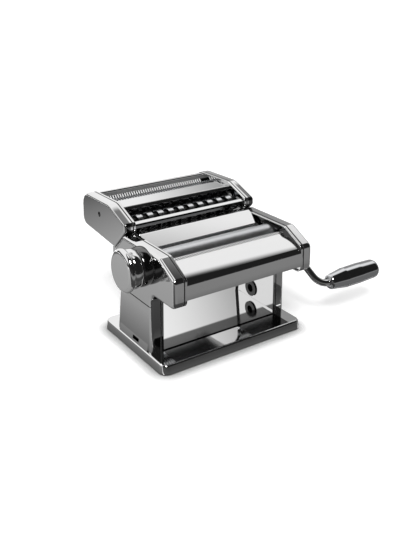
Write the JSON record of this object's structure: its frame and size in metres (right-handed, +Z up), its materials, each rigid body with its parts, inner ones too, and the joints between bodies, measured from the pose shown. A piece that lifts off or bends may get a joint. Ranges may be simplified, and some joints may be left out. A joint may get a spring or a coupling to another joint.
{
  "type": "pasta roller machine",
  "caption": "Hand-cranked tabletop pasta roller with a folded chrome body, a thickness knob, a bent crank with a turning handle and a lift-off ribbon cutter unit behind the head.",
  "frame": {"origin": "on the table, under the centre of the base tray", "axes": "+X to the right, the crank side; -Y to the front, where the user stands; +Z up"},
  "size_m": [0.3446, 0.2105, 0.1524],
  "materials": {
    "polished_chrome": "polished chrome-plated steel sheet",
    "satin_steel": "satin steel",
    "roller_aluminium": "bright anodised aluminium",
    "gear_steel": "plain machined steel",
    "nylon": "natural nylon",
    "black_plastic": "black moulded plastic",
    "rubber": "matt black rubber",
    "handle_plating": "bright metallised plastic"
  },
  "bodies": {
    "stand": {"base_plate": "polished_chrome", "rubber_feet": "rubber", "floor_plate": "polished_chrome", "left_side_plate": "polished_chrome", "right_side_plate": "polished_chrome", "left_side_cover": "polished_chrome", "right_side_cover": "polished_chrome", "clamp_grommet": "black_plastic", "front_cover": "polished_chrome", "rear_cover": "polished_chrome", "feed_plate": "polished_chrome", "front_scraper": "black_plastic", "rear_scraper": "black_plastic", "tie_rods": "gear_steel", "cheek_bars": "nylon", "rear_roller_bushes": "nylon", "shaft_bushes": "nylon", "index_collar": "satin_steel", "crank_ferrule": "nylon", "cutter_sockets": "polished_chrome"},
    "rear_roller": {"rear_roller": "roller_aluminium", "rear_gear": "gear_steel"},
    "crank": {"crank_rod": "polished_chrome"},
    "crank_grip": {"crank_grip": "handle_plating"},
    "eccentric_shaft": {"eccentric_shaft": "gear_steel"},
    "thickness_knob": {"thickness_knob": "polished_chrome", "knob_cap": "satin_steel"},
    "front_roller_sleeves": {"front_roller_sleeves": "nylon"},
    "front_roller": {"front_roller": "roller_aluminium", "front_gear": "gear_steel"},
    "cutter": {"cutter_left_plate": "polished_chrome", "cutter_right_plate": "polished_chrome", "cutter_left_cover": "polished_chrome", "cutter_right_cover": "polished_chrome", "cutter_front_lip": "polished_chrome", "cutter_middle_cover": "polished_chrome", "cutter_rear_cover": "polished_chrome", "cutter_tie_rods": "gear_steel", "cutter_bushes": "nylon", "cutter_cover_rivets": "gear_steel", "cutter_tongues": "gear_steel", "wide_front_comb": "gear_steel", "wide_rear_comb": "gear_steel", "fine_front_comb": "gear_steel", "fine_rear_comb": "gear_steel"},
    "wide_rear_roller": {"wide_rear_roller": "roller_aluminium", "wide_rear_gear": "gear_steel"},
    "wide_front_roller": {"wide_front_roller": "roller_aluminium", "wide_front_gear": "gear_steel"},
    "fine_rear_roller": {"fine_rear_roller": "roller_aluminium", "fine_rear_gear": "gear_steel"},
    "fine_front_roller": {"fine_front_roller": "roller_aluminium", "fine_front_gear": "gear_steel"}
  },
  "joints": [
    {"name": "crank_turn", "type": "hinge", "parent": "stand", "child": "rear_roller", "pos_m": [0, 0.0048, 0.1072], "axis": [1, 0, 0], "continuous": true},
    {"name": "crank_pull", "type": "slide", "parent": "rear_roller", "child": "crank", "axis": [1, 0, 0], "range_m": [0, 0.03]},
    {"name": "grip_spin", "type": "hinge", "parent": "crank", "child": "crank_grip", "pos_m": [0.18, -0.06216, 0.0441], "axis": [1, 0, 0], "continuous": true},
    {"name": "knob_turn", "type": "hinge", "parent": "stand", "child": "eccentric_shaft", "pos_m": [0, -0.0251, 0.10877], "axis": [1, 0, 0], "range_deg": [0, 135]},
    {"name": "knob_pull", "type": "slide", "parent": "eccentric_shaft", "child": "thickness_knob", "axis": [-1, 0, 0], "range_m": [0, 0.005], "stiffness_N_per_m": 800},
    {"name": "sleeve_turn", "type": "hinge", "parent": "eccentric_shaft", "child": "front_roller_sleeves", "pos_m": [0, -0.0272, 0.1079], "axis": [1, 0, 0], "range_deg": [-135, 0]},
    {"name": "front_roller_turn", "type": "hinge", "parent": "front_roller_sleeves", "child": "front_roller", "pos_m": [0, -0.0272, 0.1079], "axis": [1, 0, 0], "continuous": true},
    {"name": "cutter_lift", "type": "slide", "parent": "stand", "child": "cutter", "axis": [0, 0, 1], "range_m": [0, 0.06]},
    {"name": "wide_cutter_turn", "type": "hinge", "parent": "cutter", "child": "wide_rear_roller", "pos_m": [0, 0.0589, 0.1295], "axis": [1, 0, 0], "continuous": true},
    {"name": "wide_follower_turn", "type": "hinge", "parent": "cutter", "child": "wide_front_roller", "pos_m": [0, 0.0395, 0.1295], "axis": [1, 0, 0], "continuous": true},
    {"name": "fine_cutter_turn", "type": "hinge", "parent": "cutter", "child": "fine_rear_roller", "pos_m": [0, 0.102, 0.1295], "axis": [1, 0, 0], "continuous": true},
    {"name": "fine_follower_turn", "type": "hinge", "parent": "cutter", "child": "fine_front_roller", "pos_m": [0, 0.0826, 0.1295], "axis": [1, 0, 0], "continuous": true}
  ],
  "couplings": [
    {"joint": "sleeve_turn", "follows": "knob_turn", "ratio": -1},
    {"joint": "front_roller_turn", "follows": "crank_turn", "ratio": -1},
    {"joint": "wide_follower_turn", "follows": "wide_cutter_turn", "ratio": -1},
    {"joint": "fine_follower_turn", "follows": "fine_cutter_turn", "ratio": -1}
  ]
}
